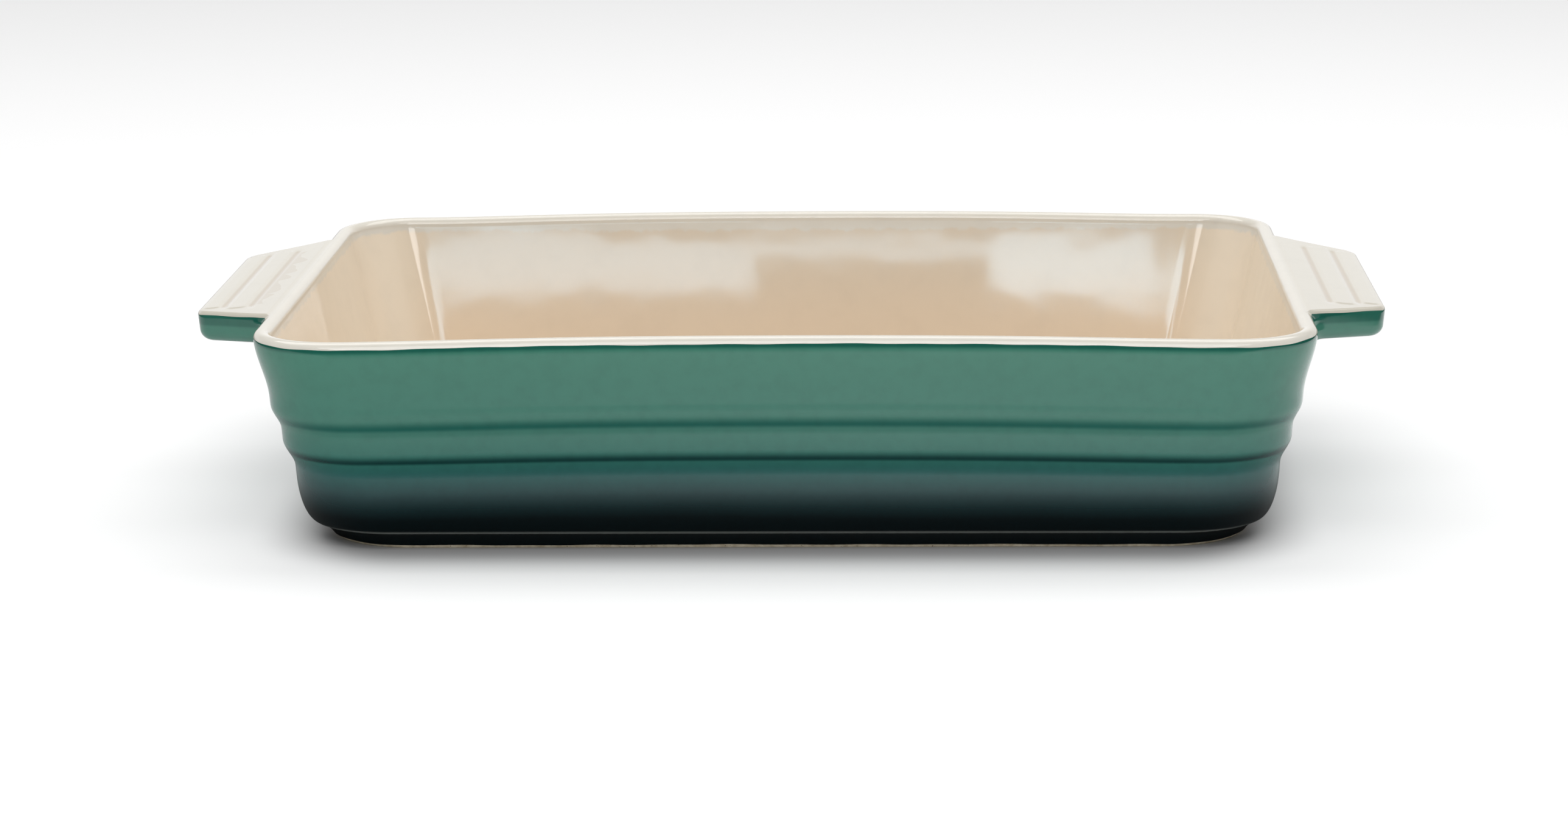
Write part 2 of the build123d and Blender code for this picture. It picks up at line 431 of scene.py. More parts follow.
class NodeBook:
    """Adds nodes to one shader tree."""

    def __init__(self, tree: bpy.types.NodeTree) -> None:
        """Start on an emptied tree."""
        self.tree = tree
        tree.nodes.clear()

    def node(self, kind: str, settings: dict | None = None, inputs: dict | None = None,
             output: int | str = 0) -> Signal | None:
        """Add a node, set its settings and then its sockets.

        Args:
            kind: the node's type.
            settings: its own properties. stops is a ramp's list of place and colour.
            inputs: values or signals by socket name or number.
            output: which output to return.

        Returns:
            That output, wrapped, or nothing from a node without outputs.
        """
        made = self.tree.nodes.new(kind)
        for key, value in (settings or {}).items():
            if key == "stops":
                self._set_stops(made.color_ramp, value)
            else:
                setattr(made, key, value)
        for key, value in (inputs or {}).items():
            if isinstance(value, Signal):
                self.tree.links.new(value.socket, made.inputs[key])
            else:
                made.inputs[key].default_value = value
        outputs = made.outputs
        return Signal(self, outputs[output]) if len(outputs) else None

    @staticmethod
    def _set_stops(ramp: bpy.types.ColorRamp, stops: list[tuple[float, Colour]]) -> None:
        """Give a ramp its stops, in order of place."""
        while len(ramp.elements) < len(stops):
            ramp.elements.new(1.0)
        for element, (place, colour) in zip(ramp.elements, stops):
            element.position = place
            element.color = (*colour, 1.0)

    def place(self) -> tuple[Signal, Signal, Signal, Signal]:
        """Object coordinates, as a vector and as x, y and z."""
        where = self.node("ShaderNodeTexCoord", output="Object")
        split = self.node("ShaderNodeSeparateXYZ", inputs={0: where}).socket.node
        return (where, *(Signal(self, split.outputs[axis]) for axis in range(3)))

    def kept(self, name: str) -> Signal:
        """A value kept on the mesh's points under a name."""
        return self.node("ShaderNodeAttribute", {"attribute_name": name}, output="Fac")

    def noise(self, where: Signal, size: float, detail: float = 2.0) -> Signal:
        """Soft noise between 0 and 1, whose patches are about the size across."""
        return self.node("ShaderNodeTexNoise", inputs={
            "Vector": where, "Scale": 1 / size, "Detail": detail, "Roughness": 0.5})

    def mix(self, share: Signal | float, low: Signal | Colour, high: Signal | Colour) -> Signal:
        """A colour that goes from low to high with the share."""
        values = {0: share, 6: low, 7: high}
        for key in (6, 7):
            if not isinstance(values[key], Signal):
                values[key] = (*values[key], 1.0)
        return self.node("ShaderNodeMix", {"data_type": "RGBA"}, values, output=2)

    def mottled(self, colour: Signal, patches: Signal, value: float) -> Signal:
        """A colour with patches of its darker self.

        Args:
            colour: the plain colour.
            patches: where they are, from 0 to 1.
            value: the patches' brightness as a share of the plain colour's.

        Returns:
            The mottled colour.
        """
        deeper = self.node("ShaderNodeHueSaturation", inputs={"Color": colour, "Value": value})
        return self.mix(patches, colour, deeper)

    def bump(self, height: Signal, distance: float) -> Signal:
        """A normal disturbed by a height from 0 to 1, which is the distance tall."""
        return self.node("ShaderNodeBump", inputs={
            "Height": height, "Distance": distance, "Strength": 1.0})


def srgb(red: int, green: int, blue: int) -> Colour:
    """A colour written as it shows on screen, from 0 to 255, as linear values."""
    def linear(value: int) -> float:
        """One channel, by the sRGB curve."""
        share = value / 255
        return share / 12.92 if share < 0.04045 else ((share + 0.055) / 1.055) ** 2.4
    return linear(red), linear(green), linear(blue)


@dataclass(frozen=True)
class Patches:
    """Uneven patches: soft noise with its middle values eased to a sharper step.

    Attributes:
        size: about how far across a patch is.
        detail: how much finer noise is added.
        low: the noise below which there is none.
        high: the noise above which a patch is full.
    """

    size: float
    detail: float
    low: float
    high: float

    def share_at(self, book: NodeBook, where: Signal) -> Signal:
        """How much of a patch there is, from 0 to 1."""
        return book.noise(where, self.size, self.detail).eased(self.low, self.high)


@dataclass(frozen=True)
class PaintedStripe:
    """A stripe round the wall, for the painted shade along each step and the painted highlight on
    the crease.

    Attributes:
        height: the level of its middle.
        below: how far down it fades out.
        above: how far up it fades out.
        share: how much of its colour shows in the middle.
        colour: its colour.
    """

    height: float
    below: float
    above: float
    share: float
    colour: Colour

    def share_at(self, level: Signal) -> Signal:
        """The stripe's share: its own at its height, and 0 past its reach below and above."""
        bell = level.eased(self.height - self.below, self.height) * (
            1 - level.eased(self.height, self.height + self.above))
        return bell * self.share


@dataclass(frozen=True)
class GreenGlaze:
    """Glossy grey-green glaze that darkens through teal to near black at the foot, partly as
    its own colour and partly as painted shade on the belly, which faces down.

    Painted shade darkens it along the two steps in the wall, and a painted highlight lies pale
    and grey along the crease over the foot. Close under the lip is a painted dark reflection,
    and along a tab's upper edge painted shade.
    """

    # Partly the glaze's own colour, and partly painted shade towards the foot, where the belly
    # faces down.
    stops: tuple[tuple[float, Colour], ...] = (
        (0.0 * MM, srgb(5, 14, 16)), (11.0 * MM, srgb(5, 16, 18)), (14.5 * MM, srgb(13, 37, 39)),
        (18.0 * MM, srgb(24, 54, 56)), (22.0 * MM, srgb(32, 76, 75)),
        (25.0 * MM, srgb(38, 90, 87)), (30.0 * MM, srgb(44, 104, 94)),
        (38.0 * MM, srgb(60, 116, 102)), (64.0 * MM, srgb(64, 122, 104)))
    top_height: float = 71.0 * MM
    # Painted shade along the two steps, and a painted highlight along the crease over the foot.
    painted_stripes: tuple[PaintedStripe, ...] = (
        PaintedStripe(height=41.0 * MM, below=1.5 * MM, above=2.8 * MM, share=0.9, colour=srgb(8, 86, 76)),
        PaintedStripe(height=29.8 * MM, below=1.1 * MM, above=2.6 * MM, share=1.0, colour=srgb(2, 52, 50)),
        PaintedStripe(height=6.1 * MM, below=0.8 * MM, above=0.8 * MM, share=0.8,
             colour=srgb(112, 116, 112)))
    # Painted dark reflection close under the lip, and painted shade along a tab's upper edge.
    painted_dark: Colour = srgb(8, 80, 68)
    painted_dark_height: float = 65.2 * MM
    painted_dark_share: float = 0.8
    tab_shade_share: float = 0.6
    drift: float = 1.2 * MM
    drift_size: float = 45.0 * MM
    mottle: Patches = Patches(size=4.0 * MM, detail=5.0, low=0.35, high=0.75)
    mottle_value: float = 0.93
    roughness: float = 0.06
    ior: float = 1.5
    wave_size: float = 16.0 * MM
    wave_height: float = 0.02 * MM

    def material(self) -> bpy.types.Material:
        """The finish as a Blender material."""
        made, book = new_material("green_glaze")
        where, _, _, _ = book.place()
        level = book.kept("level")
        drifted = level + (book.noise(where, self.drift_size) - 0.5) * (2 * self.drift)
        stops = [(height / self.top_height, colour) for height, colour in self.stops]
        colour = book.node("ShaderNodeValToRGB", {"stops": stops},
                           {0: drifted / self.top_height})
        # Painted shade in the steps, and a painted highlight on the crease over the foot.
        for stripe in self.painted_stripes:
            colour = book.mix(stripe.share_at(level), colour, stripe.colour)
        # Painted dark reflection under the lip, and painted shade on a tab's upper edge.
        painted_dark = level.eased(self.painted_dark_height, FORM.lip_base) * self.painted_dark_share
        tab_shade = book.kept("tab_shade")
        colour = book.mix(painted_dark.highest(tab_shade * self.tab_shade_share), colour, self.painted_dark)
        colour = book.mottled(colour, self.mottle.share_at(book, where), self.mottle_value)
        normal = book.bump(book.noise(where, self.wave_size, detail=1.0), self.wave_height)
        finish(book, colour, self.roughness, self.ior, normal)
        return made


@dataclass(frozen=True)
class CreamGlaze:
    """Glossy cream glaze on the lip and handles, sand-coloured inside the dish.

    It has painted light: a paler inside at the short ends, a darker cream on the handles as
    painted shade, a painted reflection at the cream's ragged edge inside the lip, and scallops
    of painted reflection on the left handle.
    """

    cream: Colour = srgb(220, 215, 204)
    # The cream darker on the handles: painted shade, against the stronger overhead light on their
    # tops.
    shaded_tab_cream: Colour = srgb(202, 196, 182)
    sand: Colour = srgb(225, 206, 182)
    pale_sand: Colour = srgb(208, 204, 192)
    pale_from: float = 24.0 * MM
    pale_to: float = 66.0 * MM
    pale_share: float = 0.4
    valley: Colour = srgb(178, 162, 138)
    valley_share: float = 0.8
    valley_span: tuple[float, float] = (0.5, 1.0)
    # The cream's ragged edge inside the lip is partly the lip's cream glaze and partly a painted
    # reflection of the overhead light.
    sand_below: float = 63.9 * MM
    cream_above: float = 65.3 * MM
    edge_size: float = 4.0 * MM
    edge_drift: float = 1.6 * MM
    edge_detail: float = 3.0
    # Painted light: the inside of the short ends is paler, as the light falls there.
    short_wall_light_from: float = 126.0 * MM
    short_wall_light_to: float = 150.0 * MM
    lit_short_wall_sand: Colour = srgb(236, 223, 203)
    short_wall_light_share: float = 0.9
    # Scallops of painted reflection on the left handle.
    scallop_from: float = -171.0 * MM
    scallop_half: float = 50.0 * MM
    scallop_reach: float = 0.8 * MM
    scallop_swing: float = 5.2 * MM
    scallop_size: float = 17.0 * MM
    scallop_share: float = 0.45
    scallop_drift: float = 4.0
    scallop_span: tuple[float, float] = (0.2, 0.75)
    scallop_edge: float = 0.3 * MM
    scallop_start: float = 0.6 * MM
    scallop_fade: float = 2.0 * MM
    roughness: float = 0.05
    ior: float = 1.5
    mottle: Patches = Patches(size=9.0 * MM, detail=3.0, low=0.4, high=0.75)
    mottle_value: float = 0.975
    wave_size: float = 22.0 * MM
    wave_height: float = 0.06 * MM

    def painted_scallops(self, x: Signal, y: Signal, noise: Signal) -> Signal:
        """Scallops of painted reflection on the left handle, beside its inner valley.

        They reach in by a constant and the size of a sine of the place across. The noise
        shifts the sine and makes some scallops longer.

        Args:
            x: the place along the dish.
            y: the place across it.
            noise: soft noise between 0 and 1.

        Returns:
            1 on the painted scallops, and 0 elsewhere.
        """
        inward = x - self.scallop_from
        phase = y * (pi / self.scallop_size) + noise * self.scallop_drift
        sine = phase.through("SINE").through("ABSOLUTE")
        reach = sine * noise.eased(*self.scallop_span) * self.scallop_swing + self.scallop_reach
        edge = (reach - inward).eased(0.0, self.scallop_edge)
        aside = y.through("ABSOLUTE")
        across = 1 - aside.eased(self.scallop_half - self.scallop_fade, self.scallop_half)
        return edge * inward.eased(-self.scallop_start, 0.0) * across

    def material(self) -> bpy.types.Material:
        """The finish as a Blender material."""
        made, book = new_material("cream_glaze")
        where, x, y, z = book.place()
        beside = x.through("ABSOLUTE")
        outside = beside.eased(FORM.rim_half_length - FORM.lip_width, FORM.rim_half_length)
        # The ragged edge of the cream: the lip's own cream, and partly a painted reflection.
        wander = book.noise(where, self.edge_size, self.edge_detail) - 0.5
        upper = z + wander * (2 * self.edge_drift)
        upper = upper.eased(self.sand_below, self.cream_above).highest(outside)
        # Painted light: paler inside the short ends.
        ends = beside.eased(self.short_wall_light_from, self.short_wall_light_to) * self.short_wall_light_share
        faded = z.eased(self.pale_from, self.pale_to) * self.pale_share
        wall = book.mix(faded, self.sand, self.pale_sand)
        wall = book.mix(ends, wall, self.lit_short_wall_sand)
        plain = book.mix(upper, wall, self.cream)
        # Painted shade: the darker cream on the handles.
        plain = book.mix(outside, plain, self.shaded_tab_cream)
        # Painted reflection: scallops on the left handle.
        painted_scallops = self.painted_scallops(x, y, book.noise(where, self.scallop_size, detail=1.0))
        plain = book.mix(painted_scallops * self.scallop_share, plain, self.valley)
        sunk = book.kept("depth").eased(*self.valley_span) * self.valley_share
        plain = book.mix(sunk, plain, self.valley)
        colour = book.mottled(plain, self.mottle.share_at(book, where), self.mottle_value)
        normal = book.bump(book.noise(where, self.wave_size, detail=1.0), self.wave_height)
        finish(book, colour, self.roughness, self.ior, normal)
        return made


@dataclass(frozen=True)
class BareClay:
    """Unglazed fired stoneware, matt and finely speckled."""

    clay: Colour = srgb(214, 204, 182)
    dark_clay: Colour = srgb(184, 170, 144)
    speck: Colour = srgb(126, 108, 84)
    patches: Patches = Patches(size=3.0 * MM, detail=3.0, low=0.35, high=0.7)
    speck_size: float = 0.7 * MM
    speck_span: tuple[float, float] = (0.68, 0.74)
    grain_height: float = 0.02 * MM
    roughness: float = 0.85
    ior: float = 1.5

    def material(self) -> bpy.types.Material:
        """The finish as a Blender material."""
        made, book = new_material("bare_stoneware")
        where, _, _, _ = book.place()
        colour = book.mix(self.patches.share_at(book, where), self.clay, self.dark_clay)
        specks = book.noise(where, self.speck_size, detail=1.0)
        colour = book.mix(specks.eased(*self.speck_span), colour, self.speck)
        finish(book, colour, self.roughness, self.ior, book.bump(specks, self.grain_height))
        return made


def new_material(name: str) -> tuple[bpy.types.Material, NodeBook]:
    """A new node material and the book for its tree."""
    made = bpy.data.materials.new(name)
    made.use_nodes = True
    return made, NodeBook(made.node_tree)


def finish(book: NodeBook, colour: Signal, roughness: float, ior: float, normal: Signal) -> None:
    """End a material's tree with one Principled shader.

    Args:
        book: the material's book.
        colour: its colour over the surface.
        roughness: how soft its reflections are.
        ior: the glaze's or clay's refractive index.
        normal: its bumped normal.
    """
    shader = book.node("ShaderNodeBsdfPrincipled", inputs={
        "Base Color": colour, "Roughness": roughness, "IOR": ior, "Normal": normal})
    book.node("ShaderNodeOutputMaterial", inputs={"Surface": shader})


@dataclass
class Body:
    """The dish's body: its glaze coats and its foot ring, each one closed surface."""

    round: Round = field(default_factory=lambda: Round.of(
        long_count=120, short_count=80, corner_count=26))
    wall_rows: int = 110
    lip_rows: int = 30
    inside_rows: int = 80
    floor_rows: int = 14
    lip_stations: int = 400
    lip_overlap: int = 90
    foot_stations: int = 200
    wall_stations: int = 2400
    inside_stations: int = 400
    bend_stations: int = 300
    foot_edge_rows: int = 7
    foot_side_rows: int = 12
    line_wobble: float = 0.12 * MM
    bare_wobble: float = 0.14 * MM
    fine_steps: tuple[float, ...] = (0.02 * MM, 0.06 * MM, 0.14 * MM)
    sharp_degrees: float = 35.0

    def rings(self, stations: Array) -> Array:
        """The points of a ring at each station."""
        return self.round.surface(*[part[:, None] for part in stations.T])

    def lip(self) -> Array:
        """Stations over the lip, half an ellipse from the widest line to the inner side."""
        angle = np.linspace(0, pi, self.lip_stations)
        inset = FORM.lip_width / 2 * (1 - np.cos(angle))
        return stations_of(inset, FORM.lip_base + FORM.lip_rise * np.sin(angle),
                           FORM.corner_radius - inset, FORM.long_side_rise)

    def outside(self) -> Profile:
        """The finished outside, from the bare foot edge up and just over the widest line."""
        foot = np.linspace(0, FORM.foot_height, self.foot_stations)
        wall = np.linspace(FORM.foot_height, FORM.lip_base, self.wall_stations)
        rows = [stations_of(FORM.foot_inset(foot), foot, FORM.corner_radius, 0),
                stations_of(FORM.wall_inset(wall), wall, FORM.corner_radius,
                            FORM.rise_at(wall, FORM.foot_height))[1:],
                self.lip()[1:self.lip_overlap]]
        return Profile.of(np.concatenate(rows))

    def inside(self) -> Profile:
        """The finished lip and inside, from the widest line over and down to the floor's edge."""
        round_top = FORM.floor_top + FORM.floor_round
        wall = np.linspace(FORM.lip_base, round_top, self.inside_stations)
        angle = np.linspace(0, pi / 2, self.bend_stations)
        bend = FORM.floor_top + FORM.floor_round * (1 - np.sin(angle))
        down = np.concatenate([wall[1:], bend[1:]])
        inner = stations_of(FORM.inside_inset(down), down, FORM.corner_radius - FORM.lip_width,
                            FORM.rise_at(down, FORM.floor_top))
        return Profile.of(np.concatenate([self.lip(), inner]))

    def floor_stations(self, edge: Array, level: float) -> Array:
        """Rings that shrink from a floor's edge to the line where its long sides meet.

        The inset grows to half the dish's width, and the radius falls in step to nothing.
        """
        share = np.linspace(0, 1, self.floor_rows + 1)[1:]
        inset = blend(edge[0], FORM.rim_half_width, share)
        return stations_of(inset, level, edge[2] * (1 - share), 0)

    def line_level(self) -> Array:
        """How far up the lip the colour line lies over the widest line, column by column."""
        wave = ripple(self.round.turn, waves=(7, 13, 29, 61), shifts=(0.1, 0.57, 0.33, 0.8))
        return FORM.line_rise + self.line_wobble * wave

    def bare_level(self) -> Array:
        """The length up the foot at which the glaze starts, column by column."""
        wave = ripple(self.round.turn, waves=(5, 11, 23, 47), shifts=(0.7, 0.2, 0.91, 0.45))
        return FORM.bare_edge + self.bare_wobble * wave

    def outside_lengths(self, profile: Profile) -> Array:
        """Lengths up the outside for each row and column, closer together at both ends."""
        widest = profile.length[np.argmin(profile.stations[:, 0])]
        start, end = self.bare_level(), widest + self.line_level()
        near = np.array((0.0, *self.fine_steps))
        rows = np.linspace(0, 1, self.wall_rows)[1:-1]
        low = start + near[:, None]
        high = end - near[::-1, None]
        middle = blend(low[-1], high[0], rows[:, None])
        return np.concatenate([low, middle, high])

    def exterior_coat(self) -> bpy.types.Object:
        """The green coat: up the outside, and back down on the clay side."""
        profile = self.outside()
        lengths = self.outside_lengths(profile)
        front = self.round.surface(*profile.read(lengths))
        back = self.round.surface(*profile.sunk(FORM.glaze).read(thinned(lengths)))
        return ring_piece("exterior_glaze_coat", np.concatenate([back[::-1], front]))

    def interior_coat(self) -> bpy.types.Object:
        """The cream coat: over the lip, down inside and across the floor, with its back."""
        inner = self.inside()
        lip_end = inner.length[np.argmin(np.abs(inner.stations[:, 0] - FORM.lip_width))]
        near = self.line_level() + np.array((0.0, *self.fine_steps))[:, None]
        over = blend(near[-1], lip_end, np.linspace(0, 1, self.lip_rows)[1:, None])
        down = np.linspace(lip_end, inner.length[-1], self.inside_rows)[1:, None]
        lengths = np.concatenate([near, over, down + 0 * self.round.turn])
        halves = []
        for depth in (0.0, FORM.glaze):
            inner_side = inner.sunk(depth)
            edge = inner_side.stations[-1]
            floor = self.floor_stations(edge, edge[1])
            along = thinned(lengths) if depth else lengths
            rows = [self.round.surface(*inner_side.read(along)), self.rings(floor)]
            halves.append(np.concatenate(rows))
        return ring_piece("interior_glaze_coat", np.concatenate([halves[1][::-1], halves[0]]),
                          close_rows=False)

    def foot(self) -> bpy.types.Object:
        """The clay foot ring, once round its section: up, in, down the recess and back out."""
        turn = np.linspace(0, pi / 2, self.foot_edge_rows)
        line = FORM.foot_inset(0) + FORM.glaze
        edge = np.stack([line + FORM.foot_edge_round * (1 - np.sin(turn)),
                         FORM.foot_edge_round * (1 - np.cos(turn))], 1)
        side = np.linspace(FORM.bare_edge, FORM.clay_base, self.foot_side_rows)
        side = np.stack([FORM.foot_inset(side) + FORM.glaze, side], 1)
        recess = FORM.foot_inset(0) + FORM.foot_width
        inner = np.array([[recess + FORM.recess_draft, FORM.clay_base], [recess, 0]])
        section = np.concatenate([edge, side, inner])
        inset, height = section[:, :1], section[:, 1:]
        outer_radius = FORM.corner_radius - FORM.glaze
        radius = np.where(inset > line + FORM.foot_width / 2,
                          FORM.corner_radius - FORM.foot_width, outer_radius)
        return ring_piece("foot_ring_clay", self.round.surface(inset, height, radius, 0 * height),
                          sharp_degrees=self.sharp_degrees)

    def underside_coat(self) -> bpy.types.Object:
        """The coat in the recess: its lower face, its visible side, and back over the top."""
        recess = FORM.foot_inset(0) + FORM.foot_width
        slope = FORM.recess_draft / FORM.clay_base

        def side(level: float, shift: float) -> Array:
            """One station of the recess's side at a level."""
            return stations_of(recess + slope * level + shift, level,
                               FORM.corner_radius - FORM.foot_width - shift, 0)

        glaze = FORM.clay_base - FORM.foot_height
        lower, upper = side(FORM.foot_height, glaze), side(FORM.clay_base, 0)
        rows = [self.floor_stations(lower, FORM.foot_height)[::-1], lower[None],
                side(FORM.bare_edge, glaze)[None], side(FORM.bare_edge, 0)[None], upper[None],
                self.floor_stations(upper, FORM.clay_base)]
        return ring_piece("underside_glaze_coat", self.rings(np.concatenate(rows)),
                          close_rows=False, sharp_degrees=self.sharp_degrees)


class Side(Enum):
    """Which short end a handle is on."""

    RIGHT = 1
    LEFT = -1


@dataclass
class Handle:
    """A handle tab with rounded edges, pads and valleys, flowing into the wall and the lip.

    Its coats are grids on one joined surface of tab and body. A column runs from the plan's
    border in towards the dish at one place across, and a row runs round the border.
    """

    side: Side
    reach: float = 25.297 * MM
    end_width: float = 103.2 * MM
    root_width: float = 141.2 * MM
    thickness: float = 10.0 * MM
    top_level: float = 69.0 * MM
    droop: float = 2.4 * MM
    corner_radius: float = 9.0 * MM
    top_round: float = 1.6 * MM
    bottom_round: float = 3.6 * MM
    colour_drop: float = 1.1 * MM
    line_climb: float = 6.0 * MM
    valley_offsets: tuple[float, float] = (8.6 * MM, 18.0 * MM)
    valley_halves: tuple[float, float] = (46.0 * MM, 49.0 * MM)
    valley_depth: float = 0.34 * MM
    valley_reach: float = 1.2 * MM
    valley_end_share: float = 0.3
    pad_offsets: tuple[float, float] = (4.6 * MM, 13.3 * MM)
    pad_half_widths: tuple[float, float] = (3.4 * MM, 4.0 * MM)
    pad_halves: tuple[float, float] = (50.0 * MM, 54.0 * MM)
    pad_rise: float = 0.26 * MM
    pad_edge: float = 2.0 * MM
    pad_corner_share: float = 0.8
    # Painted shade on the green along the upper part of a tab's edge.
    tab_shade_height: float = 4.4 * MM
    tab_shade_edge: float = 1.0 * MM
    tab_shade_start: float = 1.5 * MM
    pad_zone_share: float = 0.8
    root_line: float = -1.5 * MM
    root_rise: float = 0.15 * MM
    root_sweep: float = 9.0 * MM
    lip_join: float = 1.0 * MM
    side_join: float = 4.4 * MM
    under_join: float = 6.2 * MM
    side_join_span: tuple[float, float] = (0.5 * MM, 3.0 * MM)
    under_join_span: tuple[float, float] = (4.0 * MM, 10.0 * MM)
    span: float = 86.0 * MM
    column_step: float = 0.56 * MM
    top_rows: int = 84
    under_rows: int = 24
    wall_rows: int = 26
    round_rows: int = 14
    side_rows: int = 26
    lip_reach: float = -3.9 * MM
    wall_reach: float = 9.5 * MM
    wall_lean: float = 1.0 * MM
    tuck: float = 0.06 * MM
    tuck_span: float = 1.2 * MM
    slope_step: float = 0.01 * MM
    newton_step: float = 0.005 * MM
    newton_rounds: int = 10
    least_slope: float = 0.3
    turn_span: float = 8.0 * MM
    line_wobble: float = 0.1 * MM

    def __post_init__(self) -> None:
        """Work out the tab's own frame, and the plan's slanted sides."""
        angle = np.arctan2(self.droop, self.reach)
        self.tilt = (cos(angle), sin(angle))
        self.length = self.reach / self.tilt[0] + self.top_round * np.tan(angle)
        self.taper = (self.root_width - self.end_width) / 2 / self.reach

    def local(self, points: Array) -> Array:
        """Points in the tab's frame: x out from the rim, z up from its top face."""
        c, s = self.tilt
        x, z = points[..., 0] - FORM.rim_half_length, points[..., 2] - self.top_level
        return np.stack([x * c - z * s, points[..., 1], x * s + z * c], -1)

    def own(self, points: Array) -> Array:
        """Points of a finished coat in the tab's frame, whichever end the tab is on."""
        return self.local(points * np.array([float(self.side.value), 1.0, 1.0]))

    def world(self, x: Array, y: Array, z: Array) -> Array:
        """Points of the tab's frame in the dish's frame."""
        c, s = self.tilt
        return np.stack([x * c + z * s + FORM.rim_half_length, y,
                         z * c - x * s + self.top_level], -1)

    def relief(self, x: Array, y: Array) -> Array:
        """Height of the top face over a plain plate.

        A pad rises by an eased step inside a rounded rectangle. A valley falls by a bell
        curve of the distance from its centre line. At the root the face sweeps up to the
        lip by a square law.
        """
        up = np.clip(1 - (x - self.root_line) / self.root_sweep, 0, 1)
        height = self.root_rise * up * up
        for offset, wide, long in zip(self.pad_offsets, self.pad_half_widths, self.pad_halves):
            corner = wide * self.pad_corner_share
            dx = np.abs(x - self.length + offset) - wide + corner
            dy = np.abs(y) - long + corner
            outside = np.hypot(np.maximum(dx, 0), np.maximum(dy, 0))
            distance = outside + np.minimum(np.maximum(dx, dy), 0) - corner
            height = height + self.pad_rise * ease(-distance / self.pad_edge)
        for offset, half in zip(self.valley_offsets, self.valley_halves):
            past_end = np.maximum(np.abs(y) - half, 0) * self.valley_end_share
            distance = np.hypot(x - self.length + offset, past_end)
            height = height - self.valley_depth * np.exp(-(distance / self.valley_reach) ** 2)
        return height

    def plan_distance(self, x: Array, y: Array) -> Array:
        """Distance outside the tab's plan: that from its inner wedge, less the corner radius.

        The wedge has an end, two slanted sides and a root. Past its outer corner the
        distance is that from the corner, and elsewhere the larger of the sides'.
        """
        size = sqrt(1 + self.taper ** 2)
        end = self.length - self.corner_radius
        half = self.end_width / 2 + self.taper * self.corner_radius - self.corner_radius * size
        dx, dy = x - end, np.abs(y) - half
        to_side = (self.taper * dx + dy) / size
        along_side = (dx - self.taper * dy) / size
        past_corner = (along_side > 0) & (dy > 0)
        inner = np.where(past_corner, np.hypot(dx, dy), np.maximum(dx, to_side))
        return np.maximum(inner - self.corner_radius, self.root_line - x)

    def tab_distance(self, points: Array) -> Array:
        """Distance outside the tab: plan and faces, joined by round edges of two radii."""
        own = self.local(points)
        plan = self.plan_distance(own[..., 0], own[..., 1])
        over = own[..., 2] - self.relief(own[..., 0], own[..., 1])
        under = -self.thickness - own[..., 2]
        parts = []
        for face, radius in ((over, self.top_round), (under, self.bottom_round)):
            a, b = plan + radius, face + radius
            parts.append(np.minimum(np.maximum(a, b), 0)
                         + np.hypot(np.maximum(a, 0), np.maximum(b, 0)) - radius)
        return np.maximum(parts[0], parts[1])

    def body_distance(self, points: Array) -> Array:
        """Distance outside the wall below the widest line, and outside the round lip above."""
        x, z = points[..., 0], points[..., 2]
        step = self.slope_step
        slope = (FORM.wall_inset(z - step) - FORM.wall_inset(z + step)) / (2 * step)
        wall = (x - FORM.rim_half_length + FORM.wall_inset(z)) / np.sqrt(1 + slope ** 2)
        half = FORM.lip_width / 2
        across = (x - FORM.rim_half_length + half) / half
        lip = (np.hypot(across, (z - FORM.lip_base) / FORM.lip_rise) - 1) * half
        return np.where(z > FORM.lip_base, lip, wall)

    def join_reach(self, height: Array) -> Array:
        """How far from their crossing tab and body blend: least on top, most underneath.

        It eases from each reach to the next over a span of depths below the tab's top.
        """
        depth = self.top_level - height
        side, under = (ease((depth - start) / (end - start))
                       for start, end in (self.side_join_span, self.under_join_span))
        reach = blend(self.lip_join, self.side_join, side)
        return reach + (self.under_join - self.side_join) * under

    def distance(self, points: Array) -> Array:
        """Distance outside tab and body together, with a fillet where they meet.

        It is the smaller of the two, less (k - |difference|)^2 / 4k where they are within
        the join's reach k of each other. Past the join it sinks just under the body.
        """
        tab, body = self.tab_distance(points), self.body_distance(points)
        reach = self.join_reach(points[..., 2])
        near = np.maximum(reach - np.abs(tab - body), 0)
        sunk = self.tuck * ease((tab - body - reach) / self.tuck_span)
        return np.minimum(tab, body) - near * near / (4 * reach) + sunk

    def settle(self, points: Array) -> tuple[Array, Array]:
        """Move points onto the joined surface, by Newton steps along the distance's slope.

        Args:
            points: first places near the surface.

        Returns:
            The points, and the surface's unit normals there.
        """
        step = self.newton_step
        for _ in range(self.newton_rounds):
            slope = np.stack([(self.distance(points + shift) - self.distance(points - shift))
                              / (2 * step) for shift in np.eye(3) * step], -1)
            size = np.maximum(np.sum(slope * slope, -1, keepdims=True), self.least_slope)
            points = points - slope / size * self.distance(points)[..., None]
        return points, slope / np.linalg.norm(slope, axis=-1, keepdims=True)

    def border(self) -> tuple[Array, Array, Array]:
        """The plan's border across the tab, from the wall at the front to that at the back.

        It faces straight out along the end, turns aside at each corner, and turns back where
        it meets the wall.

        Returns:
            Its x and y in the tab's frame, and the angle at which it faces out.
        """
        y = np.linspace(-self.span, self.span, round(2 * self.span / self.column_step) + 1)
        x = np.clip(self.length - (np.abs(y) - self.end_width / 2) / self.taper, 0, self.length)
        lean = np.arctan2(1.0, self.taper)
        start = ease((np.abs(y) - self.end_width / 2) / self.turn_span + 0.5)
        stop = ease((np.abs(y) - self.root_width / 2) / self.turn_span + 0.25)
        return x, y, np.sign(y) * lean * (start - stop)

